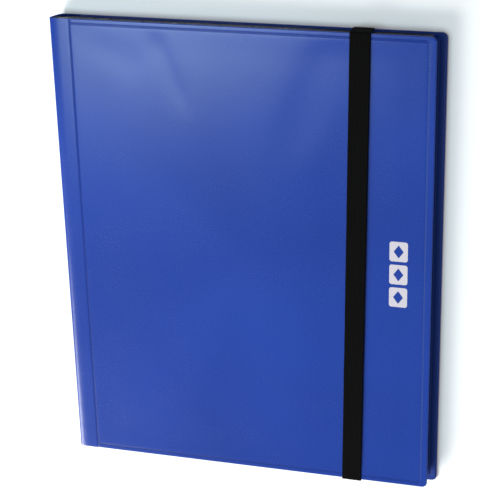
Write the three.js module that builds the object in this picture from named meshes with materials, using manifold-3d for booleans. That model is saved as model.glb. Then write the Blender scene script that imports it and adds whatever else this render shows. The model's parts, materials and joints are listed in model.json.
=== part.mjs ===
// Side-loading nine-pocket trading card binder, closed and lying on its back cover.
// Millimetres. +Z is up, the spine is at -X, the top edge is at +Y and the front cover faces +Z.
// Shapes are drawn as if the binder stood on its bottom edge, and the last group lays it down:
// x runs from the spine's front corner, y from mid thickness towards the back cover, z up the spine.
import * as THREE from "three";
import { mergeVertices } from "three/addons/utils/BufferGeometryUtils.js";
import Module from "manifold-3d";

const wasm = await Module();
wasm.setup();

// Covers
const COVER_HEIGHT = 306;
const PANEL_WIDTH = 244.8; // each cover, from its spine fold to its fore-edge
const THICKNESS = 11.8; // over both covers, without the strap
const SPINE_LEAN = 4.7; // a closed soft spine leans, so the back cover sits this far towards +X
const COVER_CORNER = 3.5;
const SKIN = 0.5;
const RIM_DEPTH = 1.35; // skin and turned-in rim together
const RIM_SIDE = 4.8; // rim width along the fore-edge
const RIM_END = 3.6; // rim width along the top and bottom
const FOLD_FLAT = 12.5; // width of thin skin between the spine fold and the board's rim
const FOLD_RIM = 1.6; // width of the rim between that thin skin and the board
const BOARD = 0.75;
const LINING = 0.4;
const LINING_INSET = 1;
const GAP = 0.05; // between faces that lie on each other
const CUT_GAP = 0.3; // between pieces that meet at a fold

// Spine
const FRONT_FOLD_RADIUS = 2; // both are outside radii
const BACK_FOLD_RADIUS = 6;
const STRIP_FROM = 3.4; // the binding strip's ends, measured along the spine from the back fold
const STRIP_TO = 9.5;
const STRIP_THICKNESS = 1.65;
const STRIP_HEIGHT = 304;

// Pages
const PAGE_COUNT = 20;
const PAGE_PITCH = 0.4;
const PAGE_HEIGHT = 303.4;
const PAGE_CORE = 0.14;
const POCKET_FILM = 0.07; // each side
const POCKET_COLUMNS = 3;
const POCKET_WIDTH = 74.5;
const WELD_WIDTH = 1.6;
const BINDING_MARGIN = 3.7; // rigid part of the margin, between the bend and the first pocket
const FIRST_PAGE_X = 10.8;
const PAGE_LEAN = 3; // how much further towards +X the last page lies than the first

// Elastic strap
const STRAP_WIDTH = 13;
const STRAP_THICKNESS = 0.85;
const STRAP_CENTRE = 196.6; // at half height, from the spine's front corner
const STRAP_SLANT = 4.6; // the elastic sits this much further towards +X at the top than at the bottom
const STRAP_BEND = 1.1; // outside radius where it turns over an edge
const STRAP_END_DEPTH = 3.3; // how far each fixed end reaches into the back cover's rim
const STRAP_END_SIDE_GAP = 0.2;

// Levels that follow from these
const COVER_BOTTOM = STRAP_THICKNESS + GAP;
const COVER_TOP = COVER_BOTTOM + COVER_HEIGHT;
const MIDDLE_Z = COVER_BOTTOM + COVER_HEIGHT / 2;
const HALF = THICKNESS / 2;
const SPINE_LENGTH = Math.hypot(SPINE_LEAN, THICKNESS);
const BACK_FOLD = new THREE.Vector2(SPINE_LEAN, HALF);
const FRONT_FOLD = new THREE.Vector2(0, -HALF);
const STRAP_REACH = HALF - RIM_DEPTH - GAP; // y where the strap's legs meet its fixed ends
const STRAP_SLOPE = STRAP_SLANT / COVER_HEIGHT;
const STRAP_TOP_X = STRAP_CENTRE + STRAP_SLANT / 2;
const STRAP_BOTTOM_X = STRAP_CENTRE - STRAP_SLANT / 2;

const blueSkin = { color: 0x3355ac, roughness: 0.35, metalness: 0 };
const blueLining = { color: 0x3f66c8, roughness: 0.45, metalness: 0 };
const greyBoard = { color: 0x8d8a84, roughness: 0.9, metalness: 0 };
const blackFilm = { color: 0x17181b, roughness: 0.3, metalness: 0 };
const blackStrip = { color: 0x101113, roughness: 0.6, metalness: 0 };
const blackElastic = { color: 0x121212, roughness: 0.95, metalness: 0 };

const binder = new THREE.Group();

// Adds one named mesh to the binder.
function addNode(name, geometry, look) {
  const mesh = new THREE.Mesh(geometry, new THREE.MeshStandardMaterial(look));
  mesh.name = name;
  binder.add(mesh);
}

// A three.js geometry as a solid that can be cut.
function toSolid(geometry) {
  const bare = geometry.clone();
  bare.deleteAttribute("normal");
  bare.deleteAttribute("uv");
  const merged = mergeVertices(bare);
  return new wasm.Manifold(
    new wasm.Mesh({
      numProp: 3,
      vertProperties: merged.attributes.position.array,
      triVerts: new Uint32Array(merged.index.array),
    }),
  );
}

// A solid as a three.js geometry again.
function toGeometry(solid) {
  const mesh = solid.getMesh();
  const geometry = new THREE.BufferGeometry();
  geometry.setAttribute("position", new THREE.BufferAttribute(mesh.vertProperties, 3));
  geometry.setIndex(new THREE.BufferAttribute(mesh.triVerts, 1));
  geometry.computeVertexNormals();
  return geometry;
}

// A shape drawn in x and z, as thick as the stretch between two y levels.
function slabAlongY(shape, yA, yB) {
  const geometry = new THREE.ExtrudeGeometry(shape, {
    depth: Math.abs(yB - yA),
    bevelEnabled: false,
    curveSegments: 6,
  });
  geometry.rotateX(Math.PI / 2);
  geometry.translate(0, Math.max(yA, yB), 0);
  return geometry;
}

// A shape drawn in x and y, standing centred on the covers' middle height.
function columnAlongZ(shape, height) {
  const geometry = new THREE.ExtrudeGeometry(shape, {
    depth: height,
    bevelEnabled: false,
    curveSegments: 8,
  });
  geometry.translate(0, 0, MIDDLE_Z - height / 2);
  return geometry;
}

// A shape drawn in y and z, as wide as the ribbon, which slopes across x as it rises.
function slopingRibbon(shape, x, width, slope) {
  const geometry = new THREE.ExtrudeGeometry(shape, {
    depth: width,
    bevelEnabled: false,
    curveSegments: 6,
  });
  const atFoot = x - width / 2 - slope * MIDDLE_Z;
  const turn = new THREE.Matrix4().set(0, slope, 1, atFoot, 1, 0, 0, 0, 0, 1, 0, 0, 0, 0, 0, 1);
  geometry.applyMatrix4(turn);
  return geometry;
}

// A rectangle whose corners at x1 are round.
function panelShape(x0, x1, z0, z1, corner) {
  const shape = new THREE.Shape();
  shape.moveTo(x0, z0);
  shape.lineTo(x1 - corner, z0);
  shape.absarc(x1 - corner, z0 + corner, corner, -Math.PI / 2, 0, false);
  shape.lineTo(x1, z1 - corner);
  shape.absarc(x1 - corner, z1 - corner, corner, 0, Math.PI / 2, false);
  shape.lineTo(x0, z1);
  shape.closePath();
  return shape;
}

// A block between two corners.
function block(x0, x1, yA, yB, z0, z1) {
  const geometry = new THREE.BoxGeometry(x1 - x0, Math.abs(yB - yA), z1 - z0);
  geometry.translate((x0 + x1) / 2, (yA + yB) / 2, (z0 + z1) / 2);
  return geometry;
}

// How far from a fold's corner its round part ends, for the angle that the two panels make inside.
function foldTangent(insideAngle, radius) {
  return radius / Math.tan(insideAngle / 2);
}

const LEAN_ANGLE = Math.atan2(SPINE_LEAN, THICKNESS);
const FRONT_INSIDE = Math.PI / 2 - LEAN_ANGLE;
const BACK_INSIDE = Math.PI / 2 + LEAN_ANGLE;
const FRONT_TANGENT = foldTangent(FRONT_INSIDE, FRONT_FOLD_RADIUS);
const BACK_TANGENT = foldTangent(BACK_INSIDE, BACK_FOLD_RADIUS);

// A cover is a skin with a turned-in rim, a board lying in it and a lining over the board.
// side is -1 for the front cover and +1 for the back cover.
// foldPiece is a solid of the fold that turns with the cover, or null.
function addCover(name, side, foldX, skinStart, foldPiece, strapEnds) {
  const level = (depth) => side * (HALF - depth);
  const rimStart = foldX + FOLD_FLAT;
  const edge = foldX + PANEL_WIDTH;
  const well = {
    x0: rimStart + FOLD_RIM,
    x1: edge - RIM_SIDE,
    z0: COVER_BOTTOM + RIM_END,
    z1: COVER_TOP - RIM_END,
  };

  const outline = panelShape(skinStart, edge, COVER_BOTTOM, COVER_TOP, COVER_CORNER);
  let skin = toSolid(slabAlongY(outline, level(0), level(RIM_DEPTH)));
  const foldCut = block(
    skinStart - 1,
    rimStart,
    level(SKIN),
    level(RIM_DEPTH + 1),
    COVER_BOTTOM - 1,
    COVER_TOP + 1,
  );
  const wellCut = block(well.x0, well.x1, level(SKIN), level(RIM_DEPTH + 1), well.z0, well.z1);
  skin = skin.subtract(toSolid(foldCut)).subtract(toSolid(wellCut));
  if (foldPiece) {
    skin = skin.add(foldPiece);
  }
  if (strapEnds) {
    const reach = STRAP_WIDTH / 2 + STRAP_END_SIDE_GAP;
    for (const [x, z0, z1] of [
      [STRAP_BOTTOM_X, COVER_BOTTOM - 1, well.z0 + 1],
      [STRAP_TOP_X, well.z1 - 1, COVER_TOP + 1],
    ]) {
      const slot = block(
        x - reach,
        x + reach,
        level(SKIN),
        level(RIM_DEPTH + 1),
        z0,
        z1,
      );
      skin = skin.subtract(toSolid(slot));
    }
  }
  addNode(name + "_skin", toGeometry(skin), blueSkin);

  const boardOutline = panelShape(
    well.x0 + 2 * GAP,
    well.x1 - 2 * GAP,
    well.z0 + 2 * GAP,
    well.z1 - 2 * GAP,
    COVER_CORNER / 2,
  );
  const boardFrom = SKIN + GAP;
  addNode(
    name + "_board",
    slabAlongY(boardOutline, level(boardFrom), level(boardFrom + BOARD)),
    greyBoard,
  );

  const liningOutline = panelShape(
    rimStart,
    edge - LINING_INSET,
    COVER_BOTTOM + LINING_INSET,
    COVER_TOP - LINING_INSET,
    COVER_CORNER,
  );
  const liningFrom = RIM_DEPTH + GAP;
  addNode(
    name + "_lining",
    slabAlongY(liningOutline, level(liningFrom), level(liningFrom + LINING)),
    blueLining,
  );
}

// A point of the spine, from its distance along the spine and its depth inside the outer face.
const alongSpine = FRONT_FOLD.clone().sub(BACK_FOLD).divideScalar(SPINE_LENGTH);
const intoSpine = new THREE.Vector2(-alongSpine.y, alongSpine.x);
function spinePoint(along, depth) {
  return BACK_FOLD.clone().addScaledVector(alongSpine, along).addScaledVector(intoSpine, depth);
}

// Directions in which the skin faces, as angles from +X, and the middle of the front fold's curve.
const SPINE_FACING = Math.atan2(-intoSpine.y, -intoSpine.x);
const FRONT_FACING = (3 * Math.PI) / 2;
const BACK_FACING = Math.PI / 2;
const FOLD_MIDDLE = (SPINE_FACING + FRONT_FACING) / 2;
const frontArc = spinePoint(SPINE_LENGTH - FRONT_TANGENT, FRONT_FOLD_RADIUS);
const backArc = spinePoint(BACK_TANGENT, BACK_FOLD_RADIUS);

// The half of the front fold that turns with the front cover, with a short flat tail to join it by.
function frontFoldHalf() {
  const { x, y } = frontArc;
  const inner = FRONT_FOLD_RADIUS - SKIN;
  const shape = new THREE.Shape();
  shape.absarc(x, y, FRONT_FOLD_RADIUS, FOLD_MIDDLE, FRONT_FACING, false);
  shape.lineTo(x + 1, y - FRONT_FOLD_RADIUS);
  shape.lineTo(x + 1, y - inner);
  shape.absarc(x, y, inner, FRONT_FACING, FOLD_MIDDLE, true);
  shape.closePath();
  return toSolid(columnAlongZ(shape, COVER_HEIGHT));
}

// The spine's skin is a flat panel with half of a tight fold at the front and a wide one at the back.
function addSpineSkin() {
  const end = FOLD_MIDDLE - CUT_GAP / FRONT_FOLD_RADIUS;
  const shape = new THREE.Shape();
  shape.absarc(backArc.x, backArc.y, BACK_FOLD_RADIUS, BACK_FACING, SPINE_FACING, false);
  shape.absarc(frontArc.x, frontArc.y, FRONT_FOLD_RADIUS, SPINE_FACING, end, false);
  shape.absarc(frontArc.x, frontArc.y, FRONT_FOLD_RADIUS - SKIN, end, SPINE_FACING, true);
  shape.absarc(backArc.x, backArc.y, BACK_FOLD_RADIUS - SKIN, SPINE_FACING, BACK_FACING, true);
  shape.closePath();
  addNode("spine_skin", columnAlongZ(shape, COVER_HEIGHT), blueSkin);
}

// The strip inside the spine that the pages' margins are welded to.
function addBindingStrip() {
  const from = SKIN + GAP;
  const corners = [
    spinePoint(STRIP_FROM, from),
    spinePoint(STRIP_TO, from),
    spinePoint(STRIP_TO, from + STRIP_THICKNESS),
    spinePoint(STRIP_FROM, from + STRIP_THICKNESS),
  ];
  addNode("binding_strip", columnAlongZ(new THREE.Shape(corners), STRIP_HEIGHT), blackStrip);
}

// One page: a core sheet with a raised column of pocket film for each column on both faces.
function pageShape(x, y) {
  const core = PAGE_CORE / 2;
  const face = core + POCKET_FILM;
  const firstPocket = x + BINDING_MARGIN;
  const front = [];
  for (let column = 0; column < POCKET_COLUMNS; column++) {
    const from = firstPocket + column * POCKET_WIDTH + WELD_WIDTH / 2;
    const to = firstPocket + (column + 1) * POCKET_WIDTH - WELD_WIDTH / 2;
    front.push([from, core], [from, face], [to, face], [to, core]);
  }
  const end = firstPocket + POCKET_COLUMNS * POCKET_WIDTH;
  const upper = [[x, core], ...front, [end, core]];
  const lower = upper.map(([px, py]) => [px, -py]).reverse();
  return new THREE.Shape([...lower, ...upper].map(([px, py]) => new THREE.Vector2(px, y + py)));
}

function addPages() {
  for (let page = 0; page < PAGE_COUNT; page++) {
    const x = FIRST_PAGE_X + (PAGE_LEAN * page) / (PAGE_COUNT - 1);
    const y = PAGE_PITCH * (page - (PAGE_COUNT - 1) / 2);
    const name = "page_" + String(page + 1).padStart(2, "0");
    addNode(name, columnAlongZ(pageShape(x, y), PAGE_HEIGHT), blackFilm);
  }
}

// The elastic runs down the front cover and turns over the top and bottom edges.
function addStrap() {
  const outside = HALF + GAP + STRAP_THICKNESS;
  const inside = HALF + GAP;
  const top = COVER_TOP + GAP + STRAP_THICKNESS;
  const shape = new THREE.Shape();
  shape.moveTo(STRAP_REACH, 0);
  shape.lineTo(STRAP_REACH, STRAP_THICKNESS);
  shape.lineTo(-inside, STRAP_THICKNESS);
  shape.lineTo(-inside, COVER_TOP + GAP);
  shape.lineTo(STRAP_REACH, COVER_TOP + GAP);
  shape.lineTo(STRAP_REACH, top);
  shape.absarc(STRAP_BEND - outside, top - STRAP_BEND, STRAP_BEND, Math.PI / 2, Math.PI, false);
  shape.absarc(STRAP_BEND - outside, STRAP_BEND, STRAP_BEND, Math.PI, (3 * Math.PI) / 2, false);
  shape.closePath();
  const ribbon = slopingRibbon(shape, STRAP_CENTRE, STRAP_WIDTH, STRAP_SLOPE);
  addNode("elastic_strap", ribbon, blackElastic);

  const yInner = STRAP_REACH + 2 * GAP;
  const yOuter = HALF - SKIN - GAP;
  const half = STRAP_WIDTH / 2;
  const ends = {
    strap_end_top: [STRAP_TOP_X, COVER_TOP - STRAP_END_DEPTH, top],
    strap_end_bottom: [STRAP_BOTTOM_X, 0, COVER_BOTTOM + STRAP_END_DEPTH],
  };
  for (const [name, [x, z0, z1]] of Object.entries(ends)) {
    addNode(name, block(x - half, x + half, yInner, yOuter, z0, z1), blackElastic);
  }
}

addCover("front_cover", -1, FRONT_FOLD.x, FRONT_FOLD.x + FRONT_TANGENT, frontFoldHalf(), false);
addCover("back_cover", 1, BACK_FOLD.x, BACK_FOLD.x + BACK_TANGENT + CUT_GAP, null, true);
addSpineSkin();
addBindingStrip();
addPages();
addStrap();

const leftEdge = FRONT_TANGENT - FRONT_FOLD_RADIUS; // the front fold's outermost line
const rightEdge = SPINE_LEAN + PANEL_WIDTH;
binder.rotation.x = -Math.PI / 2;
binder.position.set(-(leftEdge + rightEdge) / 2, -MIDDLE_Z, HALF);
const root = new THREE.Group();
root.add(binder);

export default root;
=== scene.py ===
"""Visual model of the trading card binder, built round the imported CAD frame. Metres throughout."""
import json
import math

import bpy
import numpy as np
from mathutils import Matrix, Vector, noise


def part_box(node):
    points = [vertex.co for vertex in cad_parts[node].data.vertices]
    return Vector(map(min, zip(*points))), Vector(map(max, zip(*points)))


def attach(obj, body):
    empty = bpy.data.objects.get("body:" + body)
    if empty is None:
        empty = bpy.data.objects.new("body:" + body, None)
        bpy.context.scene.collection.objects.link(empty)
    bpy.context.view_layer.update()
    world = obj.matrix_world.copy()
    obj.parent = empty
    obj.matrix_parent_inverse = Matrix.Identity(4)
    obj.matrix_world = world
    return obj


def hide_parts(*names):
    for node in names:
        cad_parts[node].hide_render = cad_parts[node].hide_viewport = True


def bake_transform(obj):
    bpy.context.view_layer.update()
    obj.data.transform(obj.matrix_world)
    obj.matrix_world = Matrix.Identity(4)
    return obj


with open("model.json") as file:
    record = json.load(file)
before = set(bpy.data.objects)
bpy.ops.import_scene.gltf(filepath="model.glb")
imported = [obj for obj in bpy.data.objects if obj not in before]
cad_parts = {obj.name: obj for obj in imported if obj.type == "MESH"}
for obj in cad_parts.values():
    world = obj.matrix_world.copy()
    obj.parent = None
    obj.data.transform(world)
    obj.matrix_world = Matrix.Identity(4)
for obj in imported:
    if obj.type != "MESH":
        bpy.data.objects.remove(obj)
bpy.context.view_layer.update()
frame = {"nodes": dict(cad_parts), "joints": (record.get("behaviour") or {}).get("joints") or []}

MM = 0.001


# Shapes are drawn as if the binder stood on its bottom edge: x from the spine to the fore-edge,
# y from the front cover to the back cover, z up the spine. In the frame it lies on its back cover.
def lay(point):
    return (point[0], point[2], -point[1])


def drawn_box(node):
    low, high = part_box(node)
    return (low[0], -high[2], low[1]), (high[0], -low[2], high[1])


# ---------------------------------------------------------------- measures taken from the frame
JOINTS = {joint["name"]: joint for joint in frame["joints"]}
FRONT_SKIN = drawn_box("front_cover_skin")
BACK_SKIN = drawn_box("back_cover_skin")
FRONT_LINING = drawn_box("front_cover_lining")
BACK_LINING = drawn_box("back_cover_lining")
STRAP_BOX = drawn_box("elastic_strap")
STRAP_TOP_END = drawn_box("strap_end_top")
STRAP_BOTTOM_END = drawn_box("strap_end_bottom")

Z_LOW = FRONT_SKIN[0][2]
Z_HIGH = FRONT_SKIN[1][2]
Z_MIDDLE = (Z_LOW + Z_HIGH) / 2
FRONT_FACE = FRONT_SKIN[0][1]
BACK_FACE = BACK_SKIN[1][1]


def drawn_axis(joint):
    """Where a fold's axis crosses the drawing's x-y plane."""
    x, _, height = JOINTS[joint]["pos_m"]
    return np.array([x, -height])


FRONT_FOLD = drawn_axis("front_cover_open")
BACK_FOLD = drawn_axis("back_fold")
SPINE_LENGTH = float(np.linalg.norm(FRONT_FOLD - BACK_FOLD))
ALONG_SPINE = (FRONT_FOLD - BACK_FOLD) / SPINE_LENGTH
INTO_SPINE = np.array([-ALONG_SPINE[1], ALONG_SPINE[0]])

# ---------------------------------------------------------------- measures of the looks
# The covers' film, from the fold's weld to the edges.
FILM = 0.5 * MM
PANEL_DEPTH = 1.35 * MM
COVER_CORNER = 3.5 * MM
EDGE_ROLL = 0.5 * MM
UNDER_ROLL = 0.3 * MM
WAVE_DEPTH = 0.25 * MM
MOST_SAG = 0.5 * MM  # the board lies just under the film
SAG_FADE = 14 * MM  # waves and dents reach their full depth this far from the weld
MESH_SPACING = (3 * MM, 5 * MM)  # across and up a cover

# The lining, which starts on the film beside the fold and climbs to its own level.
LINING_FROM_FOLD = 12.6 * MM
LINING_GAP = 0.03 * MM
LINING_RAMP = 2.2 * MM
LINING_INSET = 0.7 * MM
LINING_CORNER = COVER_CORNER - 0.5 * MM
LINING_ROLL = 0.25 * MM

# The weld round each panel and the marks across it.
WELD_FROM_FOLD = 14.2 * MM
WELD_SIDE_INSET = 4.3 * MM
WELD_END_INSET = 3.2 * MM
WELD_CORNER = 1.2 * MM
WELD_DEPTH = 0.11 * MM
LINING_WELD_DEPTH = 0.16 * MM
WELD_WIDTH = 0.55 * MM
FLANGE_DROP = 0.08 * MM  # the film outside the weld lies this much lower
FLANGE_FADE = 0.8 * MM
WELD_PITCH = 1.4 * MM
SPINE_BAR = (0.9 * MM, 0.38 * MM)  # half of a weld mark's length and half of its width
TOP_BAR = (1.0 * MM, 0.46 * MM)
FINE_BAR = (0.5 * MM, 0.3 * MM)
BAR_RISE = 0.12 * MM
BAR_SINK = 0.03 * MM
BAR_TAPER = 0.85

# The folds.
FRONT_FOLD_SPINE = 2.4 * MM  # the front fold's curve, measured each way from the corner
FRONT_FOLD_COVER = 8.0 * MM
BACK_FOLD_RADIUS = 6.0 * MM
FOLD_END = WELD_FROM_FOLD - 1.2 * MM  # where the fold film starts down into the weld's groove
FOLD_GROOVE = [WELD_FROM_FOLD - d * MM for d in (0.88, 0.58, 0.28, 0.03)]

# The pages and the binding strip.
PAGE_COUNT = 20
POCKET_COLUMNS = 3
POCKET_ROWS = 3
ROW_PITCH = 100.7 * MM
PAGE_MARGIN = 3.7 * MM
PAGE_CORE = 0.14 * MM
POCKET_SEAM = 0.7 * MM  # half of the gap between two pockets
POCKET_RISE = 0.07 * MM
POCKET_CROWN = 0.03 * MM
COLUMN_WELD = (0.35 * MM, 0.6 * MM)  # from a weld's middle: where it starts to fade and is gone
ROW_WELD = (0.25 * MM, 0.5 * MM)
RIM_WELD = 0.6 * MM
DASH_PITCH = 1.5 * MM
GLINT_FADE = (20 * MM, 60 * MM)  # GLINT_FADE = (20 * MM, 60 * MM) # between these places in x the painted highlights on the pockets' rims fade out, as painted shade
STRIP_DEPTH = 2.2 * MM  # from the spine's outer face to the face that the margins leave
ROOT_FIRST = 9.2 * MM  # where the first and the last page leave the binding strip
ROOT_LAST = 3.7 * MM

# The strap.
STRAP_THICKNESS = 0.85 * MM
STRAP_BEND = 1.1 * MM
STRAP_RIBS = 16
WARP_PITCH = 0.82 * MM
PICK_PITCH = 0.55 * MM
STRAP_RIB_HEIGHT = 0.045 * MM
STRAP_SHY = 0.05 * MM  # the webbing's faces lie this far inside the CAD solid's
STRAP_EDGE_SHY = 0.1 * MM
STRAP_SELVEDGE = 0.94  # the share of the half width that the ribs cover
STRAP_TUCK = 0.55  # the share of the thickness that the selvedge loses
STRAP_WANDER = 0.12 * MM

# The printed mark, from the fold and from the cover's bottom edge.
MARK_PLACE = (223.8 * MM, 151.8 * MM)
MARK_PITCH = 15.6 * MM
CARD_SIZE = (11.6 * MM, 13.4 * MM)
CARD_CORNER = 1.6 * MM
DIAMOND_REACH = (3.2 * MM, 4.4 * MM)
INK_RISE = 0.03 * MM
INK_SINK = 0.04 * MM


# ---------------------------------------------------------------- mesh helpers
def link(thing):
    """Puts an object into the scene."""
    bpy.context.scene.collection.objects.link(thing)
    return thing


def make_mesh(name, points, faces, uvs, materials, material_of_face=None, smooth=True):
    """One object from points, faces and a texture coordinate for each point."""
    mesh = bpy.data.meshes.new(name)
    mesh.from_pydata([lay(p) for p in points], [], faces)
    layer = mesh.uv_layers.new(name="film")
    corners = np.zeros(len(mesh.loops), np.int32)
    mesh.loops.foreach_get("vertex_index", corners)
    layer.data.foreach_set("uv", np.asarray(uvs, np.float32)[corners].ravel())
    for material in materials:
        mesh.materials.append(material)
    if material_of_face is not None:
        mesh.polygons.foreach_set("material_index", np.asarray(material_of_face, np.int32))
    mesh.polygons.foreach_set("use_smooth", [smooth] * len(mesh.polygons))
    mesh.validate()
    return link(bpy.data.objects.new(name, mesh))


def blend(piece, start, end):
    """Bakes a piece's placement into its mesh; start and end, two x-y places of the drawing, are not
    used.
    """
    start = lay((*start, Z_MIDDLE))
    end = lay((*end, Z_MIDDLE))
    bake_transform(piece)


def sharpen(piece, degrees):
    """Splits the shading at edges sharper than the angle."""
    piece.data.set_sharp_from_angle(angle=math.radians(degrees))


def grid_faces(rows, columns, first=0, flip=False, closed=False):
    """Quads over a grid of points that is stored row by row."""
    faces = []
    for row in range(rows - 1):
        for column in range(columns if closed else columns - 1):
            a = first + row * columns + column
            b = first + row * columns + (column + 1) % columns
            quad = (a, b, b + columns, a + columns)
            faces.append(quad[::-1] if flip else quad)
    return faces


def end_caps(rows, ring, flip=False):
    """Quads that close the ends of a tube whose rings run along one face and back along the other."""
    faces = []
    for row in (0, rows - 1):
        first = row * ring
        for k in range(ring // 2 - 1):
            quad = (first + k, first + k + 1, first + ring - 2 - k, first + ring - 1 - k)
            faces.append(quad if (row == 0) == flip else quad[::-1])
    return faces


def stations(low, high, near_low, near_high, spacing):
    """Positions from low to high: the given distances from each end, and an even run between them."""
    head = [low + d for d in near_low]
    tail = [high - d for d in reversed(near_high)]
    count = max(2, round((tail[0] - head[-1]) / spacing) + 1)
    middle = np.linspace(head[-1], tail[0], count)
    return [*head[:-1], *middle, *tail[1:]]


def smoothstep(value):
    """An S-shaped rise from 0 to 1."""
    value = min(1.0, max(0.0, value))
    return value * value * (3 - 2 * value)


# ---------------------------------------------------------------- materials
class Surface:
    """A node material round one Principled BSDF."""

    def __init__(self, name, **sockets):
        self.material = bpy.data.materials.new(name)
        self.material.use_nodes = True
        self.tree = self.material.node_tree
        self.shader = self.tree.nodes["Principled BSDF"]
        for socket, value in sockets.items():
            self.shader.inputs[socket.replace("_", " ")].default_value = value

    def node(self, kind, **settings):
        made = self.tree.nodes.new(kind)
        for key, value in settings.items():
            setattr(made, key, value)
        return made

    def feed(self, socket, value):
        """Links a socket, or sets it when the value is a plain number or colour."""
        if isinstance(value, bpy.types.NodeSocket):
            self.tree.links.new(value, socket)
        else:
            socket.default_value = value

    def film_uv(self):
        return self.node("ShaderNodeUVMap", uv_map="film").outputs["UV"]

    def object_point(self):
        return self.node("ShaderNodeTexCoord").outputs["Object"]

    def stretch(self, vector, scale):
        made = self.node("ShaderNodeMapping")
        self.feed(made.inputs["Vector"], vector)
        made.inputs["Scale"].default_value = scale
        return made.outputs["Vector"]

    def split(self, vector):
        made = self.node("ShaderNodeSeparateXYZ")
        self.feed(made.inputs["Vector"], vector)
        return made.outputs["X"], made.outputs["Y"]

    def noise(self, vector, scale, detail=2.0, roughness=0.5, distortion=0.0):
        made = self.node("ShaderNodeTexNoise")
        self.feed(made.inputs["Vector"], vector)
        made.inputs["Scale"].default_value = scale
        made.inputs["Detail"].default_value = detail
        made.inputs["Roughness"].default_value = roughness
        made.inputs["Distortion"].default_value = distortion
        return made.outputs["Fac"]

    def math(self, operation, a, b=0.0, c=0.0):
        made = self.node("ShaderNodeMath", operation=operation)
        for socket, value in zip(made.inputs, (a, b, c)):
            self.feed(socket, value)
        return made.outputs["Value"]

    def span(self, value, low, high, to_low=0.0, to_high=1.0):
        made = self.node("ShaderNodeMapRange", interpolation_type="SMOOTHSTEP")
        for socket, given in zip(made.inputs, (value, low, high, to_low, to_high)):
            self.feed(socket, given)
        return made.outputs["Result"]

    def mix(self, share, a, b):
        made = self.node("ShaderNodeMix", data_type="RGBA")
        self.feed(made.inputs["Factor"], share)
        self.feed(made.inputs["A"], a)
        self.feed(made.inputs["B"], b)
        return made.outputs["Result"]

    def bump(self, height, distance, below=None):
        made = self.node("ShaderNodeBump")
        made.inputs["Strength"].default_value = 1.0
        made.inputs["Distance"].default_value = distance
        self.feed(made.inputs["Height"], height)
        if below is not None:
            self.feed(made.inputs["Normal"], below)
        return made.outputs["Normal"]

    def finish(self, **links):
        for socket, value in links.items():
            self.feed(self.shader.inputs[socket.replace("_", " ")], value)
        return self.material


def film_material(name, deep, light, roughness):
    """Satin polypropylene: a fine mottled grain, slow changes of tone and faint handling marks."""
    surface = Surface(name, Specular_IOR_Level=0.3)
    uv = surface.film_uv()
    slow = surface.noise(uv, 9.0, detail=1.5)
    mottle = surface.noise(uv, 900.0, detail=3.0, roughness=0.6)
    tint = surface.math("MULTIPLY_ADD", mottle, 0.5, surface.math("MULTIPLY", slow, 0.5))
    color = surface.mix(surface.span(tint, 0.3, 0.7), (*deep, 1), (*light, 1))
    handled = surface.noise(uv, 26.0, detail=5.0, roughness=0.6)
    finish = surface.math("MULTIPLY_ADD", mottle, 0.7, surface.math("MULTIPLY", handled, 0.3))
    gloss = surface.span(finish, 0.3, 0.7, roughness - 0.03, roughness + 0.04)
    peel = surface.noise(uv, 1500.0, detail=2.0)
    return surface.finish(
        Base_Color=color, Roughness=gloss, Normal=surface.bump(peel, 0.02 * MM)
    )


def weld_material(name, color):
    """Film pressed and fused by the sealing tool, with less shine than the film beside it, in a given
    colour that holds the weld marks' painted shade and painted highlight.
    """
    surface = Surface(name, Specular_IOR_Level=0.08)
    uv = surface.film_uv()
    blotch = surface.noise(uv, 700.0, detail=3.0)
    dark = tuple(0.7 * c for c in color)
    tone = surface.mix(blotch, (*dark, 1), (*color, 1))
    gloss = surface.span(blotch, 0.3, 0.7, 0.45, 0.6)
    return surface.finish(Base_Color=tone, Roughness=gloss, Normal=surface.bump(blotch, 0.02 * MM))


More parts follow.
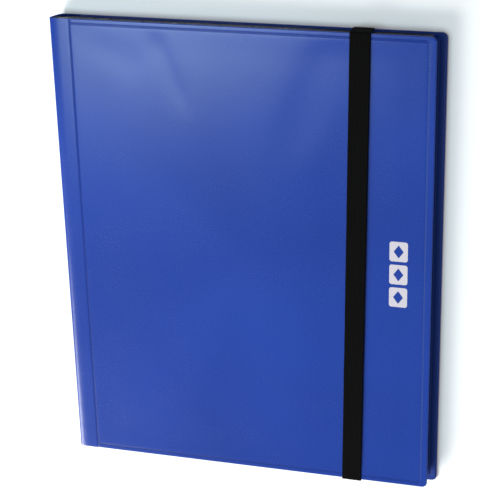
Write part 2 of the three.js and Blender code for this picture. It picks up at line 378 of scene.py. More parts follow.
def page_material(name, page_width, margin, coat, smoothest):
    """Black film, bare or under pocket film: dark welds between columns, pale dashes between rows."""
    surface = Surface(name, IOR=1.5, Coat_Weight=coat, Coat_Roughness=0.08)
    uv = surface.film_uv()
    across, up = surface.split(uv)
    pocket = page_width / POCKET_COLUMNS
    from_margin = surface.math("SUBTRACT", across, margin)
    to_column = surface.math("PINGPONG", from_margin, pocket / 2)
    to_row = surface.math("PINGPONG", surface.math("ADD", up, ROW_PITCH / 2), ROW_PITCH / 2)
    on_page = surface.math("GREATER_THAN", from_margin, -2 * MM)
    dash_up, dash_over = [
        surface.math("LESS_THAN", surface.math("FRACT", surface.math("DIVIDE", run, DASH_PITCH)), 0.5)
        for run in (up, across)
    ]
    at_column = surface.span(to_column, *COLUMN_WELD, 1.0, 0.0)
    at_row = surface.span(to_row, *ROW_WELD, 1.0, 0.0)
    at_rim = surface.math("GREATER_THAN", from_margin, page_width - RIM_WELD)
    column = surface.math("MULTIPLY", at_column, on_page)
    row = surface.math("MULTIPLY", at_row, dash_over)
    rim = surface.math("MULTIPLY", at_rim, dash_up)
    pale = surface.math("MULTIPLY", surface.math("MAXIMUM", row, rim), on_page)
    welds = surface.math("MAXIMUM", column, pale)
    worn = surface.span(surface.noise(uv, 260.0, detail=2.0), 0.35, 0.6)
    seam = surface.math("MULTIPLY", pale, worn)
    smear = surface.noise(surface.stretch(uv, (30.0, 12.0, 1.0)), 1.0, detail=4.0, distortion=0.6)
    film = surface.mix(smear, (0.006, 0.0063, 0.0075, 1), (0.021, 0.022, 0.026, 1))
    fused = surface.mix(column, film, (0.0025, 0.0025, 0.003, 1))
    color = surface.mix(seam, fused, (0.20, 0.21, 0.23, 1))
    cling = surface.noise(surface.stretch(uv, (55.0, 18.0, 1.0)), 1.0, detail=2.0, distortion=1.2)
    gloss = surface.span(smear, 0.3, 0.7, smoothest, smoothest + 0.16)
    flat = surface.bump(cling, 0.35 * MM)
    return surface.finish(
        Base_Color=color, Roughness=gloss, Normal=surface.bump(welds, 0.04 * MM, below=flat)
    )


def film_edge_material(name):
    """The cut and welded rim of the pocket film: dark clear plastic, with painted highlights in specks
    where it catches the light.
    """
    surface = Surface(name, IOR=1.5)
    point = surface.object_point()
    grain = surface.stretch(point, (260.0, 700.0, 1500.0))
    speck = surface.noise(grain, 1.0, detail=4.0, roughness=0.75)
    x = surface.split(point)[0]
    tick = surface.span(surface.math("PINGPONG", x, WELD_PITCH / 2), 0.15 * MM, 0.5 * MM, 0.25, 1.0)
    # painted highlight: pale specks on the rim, strongest at the weld dots and fading towards the
    # fore-edge
    glint_strength = surface.math("MULTIPLY", surface.span(x, *GLINT_FADE, 1.0, 0.15), tick)
    share = surface.math("MULTIPLY", surface.span(speck, 0.44, 0.56), glint_strength)
    # the pale colour is the painted highlight
    color = surface.mix(share, (0.022, 0.023, 0.026, 1), (0.90, 0.90, 0.88, 1))
    return surface.finish(
        Base_Color=color,
        Roughness=surface.span(speck, 0.3, 0.7, 0.5, 0.2),
        Normal=surface.bump(speck, 0.05 * MM),
    )


def elastic_material(name):
    """Woven elastic: warp ribs along the strap, fine picks across it and a little fuzz."""
    surface = Surface(name, Sheen_Weight=0.01, Sheen_Roughness=0.5, Specular_IOR_Level=0.03)
    uv = surface.film_uv()
    across, along = surface.split(uv)
    rib = surface.math("SINE", surface.math("MULTIPLY", across, 2 * math.pi / WARP_PITCH))
    pick = surface.math("SINE", surface.math("MULTIPLY", along, 2 * math.pi / PICK_PITCH))
    shifted = surface.math("MULTIPLY", rib, pick)
    weave = surface.math("MULTIPLY_ADD", shifted, 0.5, rib)
    fuzz = surface.noise(uv, 2600.0, detail=2.0)
    shade = surface.math("MULTIPLY_ADD", fuzz, 0.5, surface.span(weave, -1.2, 1.2, 0.0, 0.6))
    color = surface.mix(shade, (0.0008, 0.0008, 0.0008, 1), (0.0042, 0.0041, 0.0040, 1))
    height = surface.math("MULTIPLY_ADD", fuzz, 0.4, weave)
    return surface.finish(
        Base_Color=color,
        Roughness=surface.span(fuzz, 0.3, 0.7, 0.8, 0.95),
        Normal=surface.bump(height, 0.05 * MM),
    )


def print_material(name):
    """Off-white ink stamped on the film, slightly broken where it did not take."""
    surface = Surface(name)
    grain = surface.noise(surface.film_uv(), 1800.0, detail=3.0)
    color = surface.mix(surface.span(grain, 0.25, 0.5), (0.30, 0.31, 0.42, 1), (0.50, 0.46, 0.50, 1))
    return surface.finish(
        Base_Color=color,
        Roughness=surface.span(grain, 0.3, 0.7, 0.4, 0.6),
        Normal=surface.bump(grain, 0.01 * MM),
    )


def board_material(name):
    """Grey chipboard with long fibres."""
    surface = Surface(name)
    point = surface.object_point()
    fibre = surface.noise(surface.stretch(point, (300.0, 120.0, 900.0)), 1.0, detail=5.0)
    color = surface.mix(fibre, (0.22, 0.20, 0.17, 1), (0.42, 0.40, 0.36, 1))
    return surface.finish(
        Base_Color=color,
        Roughness=surface.span(fibre, 0.2, 0.8, 0.8, 0.95),
        Normal=surface.bump(fibre, 0.05 * MM),
    )


def strip_material(name):
    """Black binding strip with the ridges of the page welds."""
    surface = Surface(name)
    point = surface.object_point()
    ridge = surface.noise(surface.stretch(point, (2400.0, 60.0, 2400.0)), 1.0, detail=2.0)
    color = surface.mix(ridge, (0.006, 0.006, 0.007, 1), (0.03, 0.03, 0.034, 1))
    return surface.finish(
        Base_Color=color,
        Roughness=surface.span(ridge, 0.3, 0.7, 0.35, 0.6),
        Normal=surface.bump(ridge, 0.06 * MM),
    )


def floor_material(name):
    """A matt white sheet."""
    surface = Surface(name, Specular_IOR_Level=0.2)
    cloud = surface.noise(surface.object_point(), 3.0, detail=2.0)
    color = surface.mix(cloud, (0.88, 0.88, 0.885, 1), (0.90, 0.90, 0.90, 1))
    return surface.finish(Base_Color=color, Roughness=surface.span(cloud, 0.0, 1.0, 0.55, 0.65))


OUTER_FILM = film_material("cover_film", (0.0046, 0.0295, 0.217), (0.0088, 0.041, 0.277), 0.24)
INNER_FILM = film_material("lining_film", (0.0050, 0.039, 0.265), (0.0082, 0.047, 0.300), 0.38)
# The weld marks are raised bars, so their colours carry painted light: painted shade in the marks at
# the spine and the top, a fainter painted shade at the bottom, a painted highlight on those at the
# fore-edge, and painted shade in the marks on the lining.
WELD_PAINTED_SHADE = weld_material("cover_weld", (0.0018, 0.026, 0.225))
WELD_PAINTED_HIGHLIGHT = weld_material("cover_weld_pale", (0.075, 0.125, 0.36))
WELD_FAINT_PAINTED_SHADE = weld_material("cover_weld_faint", (0.0035, 0.026, 0.20))
LINING_WELD_PAINTED_SHADE = weld_material("lining_weld", (0.004, 0.022, 0.17))
FILM_EDGE = film_edge_material("pocket_film_edge")
ELASTIC = elastic_material("strap_elastic")
PRINT = print_material("printed_mark")


# ---------------------------------------------------------------- covers
class Dent:
    """A shallow dent along a line: where it starts and ends in x-z, its half width and its depth."""

    def __init__(self, start, end, width, depth):
        self.start = np.array(start)
        self.run = np.array(end) - self.start
        self.width = width
        self.depth = depth

    def at(self, x, z):
        to_point = np.array([x, z]) - self.start
        share = float(to_point @ self.run) / float(self.run @ self.run)
        across = (to_point[0] * self.run[1] - to_point[1] * self.run[0]) / np.linalg.norm(self.run)
        fade = smoothstep((share + 0.25) / 0.5) * smoothstep((1.25 - share) / 0.6)
        return self.depth * fade * math.exp(-((across / self.width) ** 2))


def cover_point(from_fold, from_top):
    """A point of the front cover, from its distances to the fold and to the top edge in mm."""
    return FRONT_FOLD[0] + from_fold * MM, Z_HIGH - from_top * MM


def front_dents():
    """Where the front cover's film is drawn down: under the strap, and in three creases."""
    strap_top = ((STRAP_TOP_END[0][0] + STRAP_TOP_END[1][0]) / 2, Z_HIGH)
    strap_bottom = ((STRAP_BOTTOM_END[0][0] + STRAP_BOTTOM_END[1][0]) / 2, Z_LOW)
    return [
        Dent(strap_top, strap_bottom, 18 * MM, 1.0 * MM),
        Dent(cover_point(68, 4), cover_point(86, 50), 4.5 * MM, 0.8 * MM),
        Dent(cover_point(184, 8), cover_point(156, 75), 12 * MM, 0.8 * MM),
        Dent(cover_point(30, 16), cover_point(62, 28), 8 * MM, 0.25 * MM),
    ]


def film_waves(x, z):
    """The slow unevenness of a film that was welded at its edges only, as a depth from 0 to 1."""
    wave = noise.noise(Vector((x * 10, z * 6, 2.7))) + 0.3 * noise.noise(Vector((x * 22, z * 12, 8.1)))
    return min(1.0, max(0.0, 0.5 + 0.5 * wave))


class Outline:
    """A cover's outline: straight at the spine side, with round corners at the fore-edge."""

    def __init__(self, edge, z_low, z_high, corner):
        self.edge = edge
        self.z_middle = (z_low + z_high) / 2
        self.half = (z_high - z_low) / 2
        self.corner = corner

    def inside(self, x, z):
        """How far a point lies inside the outline."""
        qx = x - (self.edge - self.corner)
        qz = abs(z - self.z_middle) - (self.half - self.corner)
        beyond = math.hypot(max(qx, 0), max(qz, 0))
        return self.corner - beyond - min(max(qx, qz), 0)

    def rounded(self, x, z):
        """A point of the square grid, moved so that the grid's corner is round."""
        a = (x - (self.edge - self.corner)) / self.corner
        b = (abs(z - self.z_middle) - (self.half - self.corner)) / self.corner
        if a <= 0 or b <= 0:
            return x, z
        round_a = a * math.sqrt(1 - b * b / 2)
        round_b = b * math.sqrt(1 - a * a / 2)
        side = 1 if z > self.z_middle else -1
        return (
            self.edge - self.corner + round_a * self.corner,
            self.z_middle + side * (self.half - self.corner + round_b * self.corner),
        )

    def inset(self, side, end, corner):
        return Outline(
            self.edge - side,
            self.z_middle - self.half + end,
            self.z_middle + self.half - end,
            corner,
        )


def roll(inside, radius):
    """How far a rounded edge falls away at a distance inside the outline."""
    if inside >= radius:
        return 0.0
    return radius - math.sqrt(max(0.0, radius**2 - (radius - inside) ** 2))


def groove(distance, depth=WELD_DEPTH):
    """How deep the sealing tool leaves the film at a distance from the weld line."""
    return depth * math.exp(-((distance / WELD_WIDTH) ** 2))


EDGE_STEPS = [d * MM for d in (0, 0.05, 0.13, 0.26, 0.42, 0.6, 1.2, 2.0)]


def edge_steps(weld_inset):
    """Distances from an edge at which a panel needs a line of points."""
    round_weld = [weld_inset + d * MM for d in (-0.9, -0.55, -0.25, 0, 0.25, 0.55, 0.9, 1.6, 3.5)]
    return [d for d in EDGE_STEPS if d < round_weld[0]] + round_weld


def cover_sheet(name, side, x_start, outline, outer, inner, start_steps, material):
    """A closed sheet over a cover: outer and inner give y at a point; side is the way it faces."""
    across = stations(x_start, outline.edge, start_steps, edge_steps(WELD_SIDE_INSET), MESH_SPACING[0])
    z_low = outline.z_middle - outline.half
    z_high = outline.z_middle + outline.half
    ends = edge_steps(WELD_END_INSET)
    up = stations(z_low, z_high, ends, ends, MESH_SPACING[1])
    points, uvs = [], []
    for face in (outer, inner):
        for z in up:
            for x in across:
                px, pz = outline.rounded(x, z)
                points.append((px, face(px, pz), pz))
                uvs.append((px, pz))
    rows, columns = len(up), len(across)
    count = rows * columns
    faces = grid_faces(rows, columns, flip=side > 0)
    faces += grid_faces(rows, columns, first=count, flip=side < 0)
    rim = list(range(columns))
    rim += [r * columns + columns - 1 for r in range(1, rows)]
    rim += [(rows - 1) * columns + c for c in range(columns - 2, -1, -1)]
    rim += [r * columns for r in range(rows - 2, 0, -1)]
    for a, b in zip(rim, rim[1:] + rim[:1]):
        quad = (b, a, a + count, b + count)
        faces.append(quad if side < 0 else quad[::-1])
    piece = make_mesh(name, points, faces, uvs, [material])
    sharpen(piece, 50)
    return piece


class CoverShape:
    """One cover's outline, weld line and faces. side is the way that its outer face looks."""

    def __init__(self, side, fold, face_y, skin_box, lining_box, dents):
        self.side = side
        self.face_y = face_y
        self.dents = dents
        self.outline = Outline(skin_box[1][0], Z_LOW, Z_HIGH, COVER_CORNER)
        self.weld = self.outline.inset(WELD_SIDE_INSET, WELD_END_INSET, WELD_CORNER)
        self.weld_x = fold[0] + WELD_FROM_FOLD
        self.lining_x = fold[0] + LINING_FROM_FOLD
        self.lining_outline = self.outline.inset(LINING_INSET, LINING_INSET, LINING_CORNER)
        levels = (lining_box[0][1], lining_box[1][1])
        self.board_y, self.inner_y = levels if side < 0 else levels[::-1]

    def weld_distance(self, x, z):
        return min(abs(self.weld.inside(x, z)), abs(x - self.weld_x))

    def outer(self, x, z):
        """The film's outer face, with its welds, its rolled edge, its waves and its dents."""
        outside_weld = smoothstep(-self.weld.inside(x, z) / FLANGE_FADE)
        depth = groove(self.weld_distance(x, z)) + FLANGE_DROP * outside_weld
        depth += roll(self.outline.inside(x, z), EDGE_ROLL)
        away = min(self.weld.inside(x, z), x - self.weld_x) / SAG_FADE
        dented = sum(dent.at(x, z) for dent in self.dents)
        sag = smoothstep(away) * (WAVE_DEPTH * film_waves(x, z) + dented)
        depth += MOST_SAG * (1 - math.exp(-sag / MOST_SAG))
        return self.face_y - self.side * depth

    def under(self, x, z):
        """The panel's face on the lining."""
        depth = PANEL_DEPTH - roll(self.outline.inside(x, z), UNDER_ROLL)
        return self.face_y - self.side * depth

    def lining_ramp(self, x):
        return smoothstep((x - self.lining_x) / LINING_RAMP)

    def lining_level(self, x, level):
        """A lining face that climbs from the cover's film to a level."""
        film_y = self.face_y - self.side * (FILM + LINING_GAP)
        return film_y + (level - film_y) * self.lining_ramp(x)

    def lining_inner(self, x, z):
        """The lining's face on the pages."""
        drop = groove(self.weld_distance(x, z), LINING_WELD_DEPTH) * self.lining_ramp(x)
        drop += roll(self.lining_outline.inside(x, z), LINING_ROLL)
        return self.lining_level(x, self.inner_y) + self.side * drop

    def lining_back(self, x, _z):
        """The lining's face on the board, which has no welds."""
        return self.lining_level(x, self.board_y)


def weld_bar(face, side, centre, along, over, half_long, half_wide):
    """The eight corners of one weld mark: the sunk base, then the narrower top."""
    corners = []
    for height, share in ((-BAR_SINK, 1.0), (BAR_RISE - BAR_SINK, BAR_TAPER)):
        for s, t in ((-1, -1), (1, -1), (1, 1), (-1, 1)):
            x, z = centre + along * s * half_wide * share + over * t * half_long * share
            corners.append((x, face(x, z) + side * height, z))
    return corners


def weld_marks(name, cover, face, side, films, margin):
    """The short bars that the sealing tool leaves across the weld line, all in one mesh.

    films are the materials of the bars at the spine and the top, at the bottom and at the fore-edge;
    their colours are the marks' painted shade and painted highlight.
    """
    weld = cover.weld
    z_low = weld.z_middle - weld.half
    z_high = weld.z_middle + weld.half
    runs = [
        (0, SPINE_BAR, (cover.weld_x, Z_LOW + margin), (cover.weld_x, Z_HIGH - margin)),
        (0, TOP_BAR, (cover.weld_x, z_high), (weld.edge - weld.corner, z_high)),
        (1, SPINE_BAR, (cover.weld_x, z_low), (weld.edge - weld.corner, z_low)),
        (2, FINE_BAR, (weld.edge, z_low + weld.corner), (weld.edge, z_high - weld.corner)),
    ]
    points, faces, kinds = [], [], []
    for kind, bar, start, end in runs:
        start, end = np.array(start), np.array(end)
        length = float(np.linalg.norm(end - start))
        along = (end - start) / length
        over = np.array([-along[1], along[0]])
        turned = side * (1 if along[0] > 0.5 else -1) * (1 if over[1] > 0.5 else -1) > 0
        for step in range(1, int(length / WELD_PITCH) + 1):
            first = len(points)
            points += weld_bar(face, side, start + along * step * WELD_PITCH, along, over, *bar)
            base = tuple(first + k for k in (3, 2, 1, 0))
            top = tuple(first + k for k in (4, 5, 6, 7))
            walls = [
                (first + k, first + (k + 1) % 4, first + 4 + (k + 1) % 4, first + 4 + k)
                for k in range(4)
            ]
            for quad in (top, base, *walls):
                faces.append(quad[::-1] if turned else quad)
                kinds.append(kind)
    uvs = [(x, z) for x, _, z in points]
    return make_mesh(name, points, faces, uvs, films, kinds, smooth=False)


def add_panel(name, cover):
    """The film over the board, from the weld beside the fold to the cover's edges."""
    steps = [d * MM for d in (0, 0.25, 0.55, 0.9, 1.6, 3.5)]
    panel = cover_sheet(
        name + "_panel",
        cover.side,
        cover.weld_x,
        cover.outline,
        cover.outer,
        cover.under,
        steps,
        OUTER_FILM,
    )
    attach(panel, name)
    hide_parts(name + "_skin")


def add_lining(name, cover):
    """The inner film that closes the panel."""
    steps = [d * MM for d in (0, 0.4, 0.8, 1.2, 1.6, 2.0, 2.5, 4.5)]
    lining = cover_sheet(
        name + "_inner_film",
        -cover.side,
        cover.lining_x,
        cover.lining_outline,
        cover.lining_inner,
        cover.lining_back,
        steps,
        INNER_FILM,
    )
    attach(lining, name)
    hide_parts(name + "_lining")


def add_weld_marks(name, cover):
    """The marks on the cover's film and on its lining."""
    # painted shade on the marks at the spine, the top and the bottom, a painted highlight on those at
    # the fore-edge
    films = [WELD_PAINTED_SHADE, WELD_FAINT_PAINTED_SHADE, WELD_PAINTED_HIGHLIGHT]
    outer_marks = weld_marks(name + "_weld", cover, cover.outer, cover.side, films, MM)
    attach(outer_marks, name)
    # painted shade on the lining's marks
    films = [LINING_WELD_PAINTED_SHADE] * 3
    inner_marks = weld_marks(
        name + "_inner_weld", cover, cover.lining_inner, -cover.side, films, 2 * MM
    )
    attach(inner_marks, name)


def add_cover(name, side, fold, face_y, skin_box, lining_box, dents):
    """The padded panel, its lining and the weld marks of both, for one cover."""
    cover = CoverShape(side, fold, face_y, skin_box, lining_box, dents)
    add_panel(name, cover)
    add_lining(name, cover)
    add_weld_marks(name, cover)
    return cover


# ---------------------------------------------------------------- spine
def spine_point(along, depth):
    """A point inside the spine, from its distances to the back fold and to the spine's face."""
    return BACK_FOLD + ALONG_SPINE * along + INTO_SPINE * depth


def front_fold_path():
    """The front fold is tight at the spine and eases out over the cover."""
    spine_side = FRONT_FOLD - ALONG_SPINE * FRONT_FOLD_SPINE
    cover_side = FRONT_FOLD + np.array([FRONT_FOLD_COVER, 0.0])
    middle = FRONT_FOLD - ALONG_SPINE * SPINE_LENGTH / 2
    path = [(middle + (spine_side - middle) * share, -INTO_SPINE) for share in (0, 0.35, 0.7)]
    for t in np.linspace(0, 1, 19):
        point = (1 - t) ** 2 * spine_side + 2 * t * (1 - t) * FRONT_FOLD + t**2 * cover_side
        slope = (1 - t) * (FRONT_FOLD - spine_side) + t * (cover_side - FRONT_FOLD)
        normal = np.array([slope[1], -slope[0]]) / np.linalg.norm(slope)
        path.append((point, normal))
    down = np.array([0.0, -1.0])
    for x in (*np.linspace(FRONT_FOLD_COVER, FOLD_END, 4)[1:], *FOLD_GROOVE):
        level = FRONT_FOLD + np.array([x, 0.0]) - down * groove(WELD_FROM_FOLD - x)
        path.append((level, down))
    return path


def fold_path(fold, side, radius, along_from_fold):
    """Outer line of the film from mid-spine round a fold to the weld, as (point, outward normal)."""
    spine_out = -INTO_SPINE
    face_out = np.array([0.0, side])
    inside = math.pi - math.acos(float(spine_out @ face_out))
    tangent = radius / math.tan(inside / 2)
    path = []
    for share in np.linspace(0, 1, 5):
        point = fold + along_from_fold * (SPINE_LENGTH / 2 + (tangent - SPINE_LENGTH / 2) * share)
        path.append((point, spine_out))
    centre = fold + along_from_fold * tangent - spine_out * radius
    first = math.atan2(spine_out[1], spine_out[0]) % (2 * math.pi)
    last = math.atan2(face_out[1], face_out[0]) % (2 * math.pi)
    for share in np.linspace(0, 1, 14)[1:]:
        angle = first + (last - first) * share
        normal = np.array([math.cos(angle), math.sin(angle)])
        path.append((centre + normal * radius, normal))
    for x in (*np.linspace(tangent, FOLD_END, 6)[1:], *FOLD_GROOVE):
        level = fold + np.array([x, 0.0]) - face_out * groove(WELD_FROM_FOLD - x)
        path.append((level, face_out))
    return path, tangent


def fold_film(name, path, fold, side):
    """The film of half the spine, its fold and the cover as far as the weld line."""
    reach = np.cumsum([0] + [np.linalg.norm(b[0] - a[0]) for a, b in zip(path, path[1:])])
    u_end = fold[0] + WELD_FROM_FOLD
    ends = [d * MM for d in (0, 0.06, 0.15, 0.3, 3.0)]
    up = stations(Z_LOW, Z_HIGH, ends, ends, 12 * MM)
    points, uvs = [], []
    for z in up:
        shy = roll(min(z - Z_LOW, Z_HIGH - z), 0.2 * MM)
        outer = [p - n * shy for p, n in path]
        inner = [p - n * (FILM - shy) for p, n in path]
        for (x, y), r in zip(outer + inner[::-1], [*reach, *reach[::-1]]):
            points.append((x, y, z))
            uvs.append((u_end - reach[-1] + r, z))
    ring = 2 * len(path)
    faces = grid_faces(len(up), ring, closed=True, flip=side > 0)
    faces += end_caps(len(up), ring, flip=side > 0)
    piece = make_mesh(name, points, faces, uvs, [OUTER_FILM])
    sharpen(piece, 50)
    return piece


def add_spine():
    front = fold_film("spine_front_fold", front_fold_path(), FRONT_FOLD, -1)
    start = FRONT_FOLD - ALONG_SPINE * FRONT_FOLD_SPINE
    end = FRONT_FOLD + np.array([FRONT_FOLD_SPINE * 1.6, 0.0])
    blend(front, start, end)
    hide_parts("spine_skin")
    path, tangent = fold_path(BACK_FOLD, 1, BACK_FOLD_RADIUS, ALONG_SPINE)
    back = fold_film("spine_back_fold", path, BACK_FOLD, 1)
    start = BACK_FOLD + ALONG_SPINE * tangent
    end = BACK_FOLD + np.array([tangent, 0.0])
    blend(back, start, end)


# ---------------------------------------------------------------- pages
def margin_curve(root, start, share):
    """A page's margin between the binding strip and the flat of the page."""
    across = start[0] - root[0]
    rise = smoothstep(share)
    return np.array([root[0] + across * share, root[1] + (start[1] - root[1]) * rise])


class PageMesh:
    """The growing mesh of one page: its points, texture coordinates, faces and their materials."""

    CORE, RIM, POCKET = range(3)

    def __init__(self, lowest):
        self.lowest = lowest  # where the flat of the page starts in x
        self.points, self.uvs, self.faces, self.kinds = [], [], [], []

    def point(self, x, y, z):
        self.points.append((x, y, z))
        self.uvs.append((x - self.lowest, z - Z_MIDDLE))


def add_core(page, line, low, high):
    """The black film along a line in x-y, from the page's bottom to its top."""
    half = PAGE_CORE / 2
    up = np.linspace(low, high, 16)
    for z in up:
        for side, run in ((-1, line), (1, line[::-1])):
            for x, y in run:
                page.point(x, y + side * half, z)
    ring = 2 * len(line)
    wrap = grid_faces(len(up), ring, closed=True)
    caps = end_caps(len(up), ring)
    page.faces += wrap + caps
    page.kinds += [page.CORE] * len(wrap) + [page.RIM] * len(caps)


def add_pocket(page, corners, level, side, open_edges):
    """A clear pocket lying on a page's core: low rims round a slightly crowned sheet.

    open_edges says which rims lie on the page's own outline: at the bottom, top and fore-edge.
    """
    x0, x1, z0, z1 = corners
    steps = (0, 0.25 * MM, 2.5 * MM, 9 * MM)
    across = stations(x0, x1, steps, steps, 14 * MM)
    up = stations(z0, z1, steps, steps, 18 * MM)
    first = len(page.points)
    for row, z in enumerate(up):
        for column, x in enumerate(across):
            rim = row in (0, len(up) - 1) or column in (0, len(across) - 1)
            crown = math.sin(math.pi * (x - x0) / (x1 - x0)) * math.sin(math.pi * (z - z0) / (z1 - z0))
            height = 0 if rim else POCKET_RISE + POCKET_CROWN * max(0.0, crown)
            page.point(x, level + side * height, z)
    for quad in grid_faces(len(up), len(across), first=first, flip=side > 0):
        rows = {(q - first) // len(across) for q in quad}
        columns = {(q - first) % len(across) for q in quad}
        rims = (0 in rows, len(up) - 1 in rows, len(across) - 1 in columns)
        outermost = any(rim and is_open for rim, is_open in zip(rims, open_edges))
        beside_core = any(rims) or 0 in columns
        page.faces.append(quad)
        page.kinds.append(page.RIM if outermost else page.CORE if beside_core else page.POCKET)


def add_pockets(page, low, high, level):
    """The pockets on both faces of a page, in columns and rows."""
    pitch = (high[0] - low[0] - PAGE_MARGIN) / POCKET_COLUMNS
    for side in (-1, 1):
        for column in range(POCKET_COLUMNS):
            for row in range(POCKET_ROWS):
                x0 = low[0] + PAGE_MARGIN + column * pitch
                z0 = Z_MIDDLE + (row - POCKET_ROWS / 2) * ROW_PITCH
                x1, z1 = x0 + pitch, z0 + ROW_PITCH
                corners = (x0 + POCKET_SEAM, x1 - POCKET_SEAM, z0 + POCKET_SEAM, z1 - POCKET_SEAM)
                open_edges = (row == 0, row == POCKET_ROWS - 1, column == POCKET_COLUMNS - 1)
                add_pocket(page, corners, level + side * PAGE_CORE / 2, side, open_edges)


def add_page(number, core_film, pocket_film):
    """One page: a black core that bends out of the binding strip, with nine pockets on each face."""
    node = f"page_{number:02d}"
    low, high = drawn_box(node)
    level = (low[1] + high[1]) / 2
    share = (number - 1) / (PAGE_COUNT - 1)
    root = spine_point(ROOT_FIRST + (ROOT_LAST - ROOT_FIRST) * share, STRIP_DEPTH)
    start = np.array([low[0], level])
    line = [margin_curve(root, start, s) for s in np.linspace(0, 1, 12)]
    line += [np.array([x, level]) for x in np.linspace(low[0], high[0], 14)[1:]]
    page = PageMesh(low[0])
    add_core(page, line, low[2], high[2])
    add_pockets(page, low, high, level)
    films = [core_film, FILM_EDGE, pocket_film]
    piece = make_mesh(node + "_film", page.points, page.faces, page.uvs, films, page.kinds)
    sharpen(piece, 60)
    begin = root + np.array([0.5 * MM, 0.0])
    blend(piece, begin, start)
    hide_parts(node)


def add_pages():
    low, high = drawn_box("page_01")
    width = high[0] - low[0] - PAGE_MARGIN
    core_film = page_material("page_core_film", width, PAGE_MARGIN, 0.0, 0.42)
    pocket_film = page_material("page_pocket_film", width, PAGE_MARGIN, 0.6, 0.14)
    for number in range(1, PAGE_COUNT + 1):
        add_page(number, core_film, pocket_film)


# ---------------------------------------------------------------- strap
def strap_path():
    """The strap's middle line in y and z, from inside the back cover's top rim to the bottom rim."""
    low, high = STRAP_BOX
    half = STRAP_THICKNESS / 2
    y_end = (STRAP_TOP_END[0][1] + STRAP_TOP_END[1][1]) / 2
    y_front = low[1] + half
    z_top = high[2] - half
    z_bottom = low[2] + half
    radius = STRAP_BEND - half
    corners = [
        (y_end, STRAP_TOP_END[0][2]),
        (y_end, z_top),
        (y_front, z_top),
        (y_front, z_bottom),
        (y_end, z_bottom),
        (y_end, STRAP_BOTTOM_END[1][2]),
    ]
    path = [np.array(corners[0])]
    for before, corner, after in zip(corners, corners[1:], corners[2:]):
        before, corner, after = np.array(before), np.array(corner), np.array(after)
        into = (corner - before) / np.linalg.norm(corner - before)
        out = (after - corner) / np.linalg.norm(after - corner)
        arc_start = corner - into * radius
        count = max(2, round(np.linalg.norm(arc_start - path[-1]) / (4 * MM)))
        path += list(np.linspace(path[-1], arc_start, count + 1)[1:])
        centre = arc_start + out * radius
        for turn in np.linspace(0, math.pi / 2, 7)[1:]:
            path.append(centre - out * radius * math.cos(turn) + into * radius * math.sin(turn))
    path += list(np.linspace(path[-1], np.array(corners[-1]), 3)[1:])
    return path


def add_strap():
    """The elastic, with its warp ribs and thin selvedges, a little out of upright."""
    path = strap_path()
    half = STRAP_THICKNESS / 2
    x_middle = (STRAP_BOX[0][0] + STRAP_BOX[1][0]) / 2
    top_x = (STRAP_TOP_END[0][0] + STRAP_TOP_END[1][0]) / 2
    bottom_x = (STRAP_BOTTOM_END[0][0] + STRAP_BOTTOM_END[1][0]) / 2
    width = STRAP_TOP_END[1][0] - STRAP_TOP_END[0][0]
    slope = (top_x - bottom_x) / (Z_HIGH - Z_LOW)
    across = np.linspace(-1, 1, STRAP_RIBS * 4 + 1)
    points, uvs = [], []
    reach = 0.0
    for index, here in enumerate(path):
        before = path[max(0, index - 1)]
        after = path[min(len(path) - 1, index + 1)]
        forward = (after - before) / np.linalg.norm(after - before)
        outward = np.array([-forward[1], forward[0]])
        reach += float(np.linalg.norm(here - before))
        wander = STRAP_WANDER * noise.noise(Vector((0.0, 0.0, reach * 60)))
        for face in (1, -1):
            for s in across[::face]:
                rib = STRAP_RIB_HEIGHT * math.cos(s * STRAP_RIBS * math.pi)
                past = max(0.0, abs(s) - STRAP_SELVEDGE) / (1 - STRAP_SELVEDGE)
                level = half * (1 - past * STRAP_TUCK) - STRAP_SHY
                y, z = here + outward * face * (level + rib * (abs(s) < STRAP_SELVEDGE))
                x = x_middle + slope * (here[1] - Z_MIDDLE) + s * (width / 2 - STRAP_EDGE_SHY) + wander
                points.append((x, y, z))
                uvs.append((s * width / 2, reach))
    ring = 2 * len(across)
    faces = grid_faces(len(path), ring, closed=True) + end_caps(len(path), ring)
    piece = make_mesh("strap_webbing", points, faces, uvs, [ELASTIC])
    sharpen(piece, 60)
    start = (x_middle, STRAP_TOP_END[0][1])
    end = (x_middle, STRAP_BOX[0][1] + 2 * half)
    blend(piece, start, end)
    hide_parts("elastic_strap", "strap_end_top", "strap_end_bottom")


# ---------------------------------------------------------------- printed mark
def rounded_loop(width, height, radius):
    """Points round a rectangle with round corners, and the middle of each of its sides."""
    loop = []
    for quarter in range(4):
        sx = (1, -1, -1, 1)[quarter]
        sz = (1, 1, -1, -1)[quarter]
        loop.append(((width / 2, 0), (0, height / 2), (-width / 2, 0), (0, -height / 2))[quarter])
        for turn in np.linspace(0, math.pi / 2, 6):
            angle = turn + quarter * math.pi / 2
            loop.append(
                (
                    sx * (width / 2 - radius) + radius * math.cos(angle),
                    sz * (height / 2 - radius) + radius * math.sin(angle),
                )
            )
    return loop


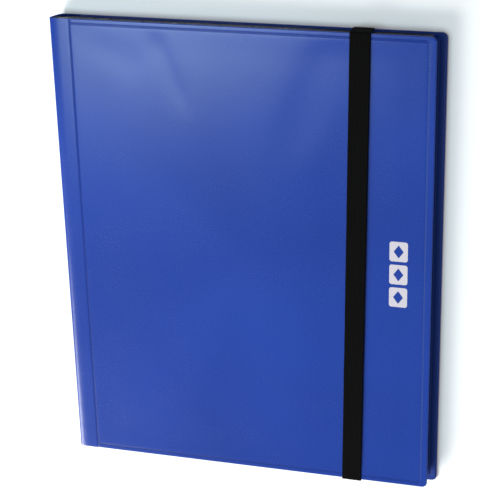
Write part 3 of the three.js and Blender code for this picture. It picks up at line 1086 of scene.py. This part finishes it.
def add_mark(face):
    """Three plain playing cards with a diamond each, where the cover carries its print."""
    x_middle = FRONT_FOLD[0] + MARK_PLACE[0]
    z_middle = Z_LOW + MARK_PLACE[1]
    outer = rounded_loop(*CARD_SIZE, CARD_CORNER)
    inner = []
    for x, z in outer:
        reach = abs(x) / DIAMOND_REACH[0] + abs(z) / DIAMOND_REACH[1]
        inner.append((x / reach, z / reach))
    count = len(outer)
    points, faces = [], []
    for place in (-1, 0, 1):
        first = len(points)
        for loop, lift in (
            (outer, -INK_SINK),
            (outer, INK_RISE),
            (inner, INK_RISE),
            (inner, -INK_SINK),
        ):
            for x, z in loop:
                px, pz = x_middle + x, z_middle + place * MARK_PITCH + z
                points.append((px, face(px, pz) - lift, pz))
        faces += grid_faces(4, count, first=first, closed=True)
        for k in range(count):
            n = (k + 1) % count
            faces.append((first + 3 * count + k, first + 3 * count + n, first + n, first + k))
    uvs = [(x, z) for x, _, z in points]
    piece = make_mesh("cover_mark", points, faces, uvs, [PRINT], smooth=False)
    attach(piece, "front_cover")


# ---------------------------------------------------------------- carried CAD nodes
def paint_nodes():
    board = board_material("cover_board")
    strip = strip_material("binding_strip")
    for node, material in (
        ("front_cover_board", board),
        ("back_cover_board", board),
        ("binding_strip", strip),
    ):
        slots = frame["nodes"][node].data.materials
        slots.clear()
        slots.append(material)


# ---------------------------------------------------------------- studio
def add_camera():
    """A view of the front cover from its right and above, turned a little about the line of sight."""
    azimuth, elevation, roll_angle = math.radians(16.03), math.radians(23.13), math.radians(-1.45)
    distance = 1.0185
    target = Vector((0.91 * MM, -6.35 * MM, 4.6 * MM))
    back = Vector(
        (
            math.sin(azimuth) * math.cos(elevation),
            -math.cos(azimuth) * math.cos(elevation),
            math.sin(elevation),
        )
    )
    data = bpy.data.cameras.new("camera")
    data.lens = 114.04
    data.sensor_width = 36.0
    data.clip_start = 0.05
    camera = link(bpy.data.objects.new("camera", data))
    drawn = Matrix.Translation(target + back * distance)
    drawn @= (-back).to_track_quat("-Z", "Y").to_matrix().to_4x4()
    drawn @= Matrix.Rotation(roll_angle, 4, "Z")
    camera.matrix_world = Matrix.Rotation(-math.pi / 2, 4, "X") @ drawn
    bpy.context.scene.camera = camera


def add_light(name, place, aim, size, power, color):
    """A rectangular light at a place, aimed at a point."""
    data = bpy.data.lights.new(name, "AREA")
    data.shape = "RECTANGLE"
    data.size, data.size_y = size
    data.energy = power
    data.color = color
    light = link(bpy.data.objects.new(name, data))
    light.location = place
    light.rotation_euler = (Vector(aim) - Vector(place)).to_track_quat("-Z", "Y").to_euler()


def add_floor(reach):
    mesh = bpy.data.meshes.new("floor")
    corners = [(-reach, -reach, 0), (reach, -reach, 0), (reach, reach, 0), (-reach, reach, 0)]
    mesh.from_pydata(corners, [], [(0, 1, 2, 3)])
    mesh.materials.append(floor_material("floor"))
    floor = link(bpy.data.objects.new("floor", mesh))


def add_studio():
    """A white floor, a warm surround, a large key and the cool light that the cover's top mirrors."""
    add_floor(4.0)
    world = bpy.data.worlds.new("studio")
    world.use_nodes = True
    world.node_tree.nodes["Background"].inputs["Color"].default_value = (1.0, 0.95, 0.91, 1)
    world.node_tree.nodes["Background"].inputs["Strength"].default_value = 0.40
    bpy.context.scene.world = world
    add_light(
        "key",
        place=(-1.4, -1.6, 0.95),
        aim=(0, 0, 0),
        size=(1.25, 1.25),
        power=93,
        color=(1.0, 0.99, 0.965),
    )
    add_light(
        "veil",
        place=(-0.38, 0.04, 1.0),
        aim=(-0.03, 0.14, 0),
        size=(0.45, 0.34),
        power=6.8,
        color=(0.70, 0.90, 1.0),
    )
    bpy.context.scene.view_settings.view_transform = "Standard"


add_camera()
front_cover = add_cover(
    "front_cover", -1, FRONT_FOLD, FRONT_FACE, FRONT_SKIN, FRONT_LINING, front_dents()
)
add_cover("back_cover", 1, BACK_FOLD, BACK_FACE, BACK_SKIN, BACK_LINING, [])
add_spine()
add_pages()
add_strap()
add_mark(front_cover.outer)
paint_nodes()
add_studio()
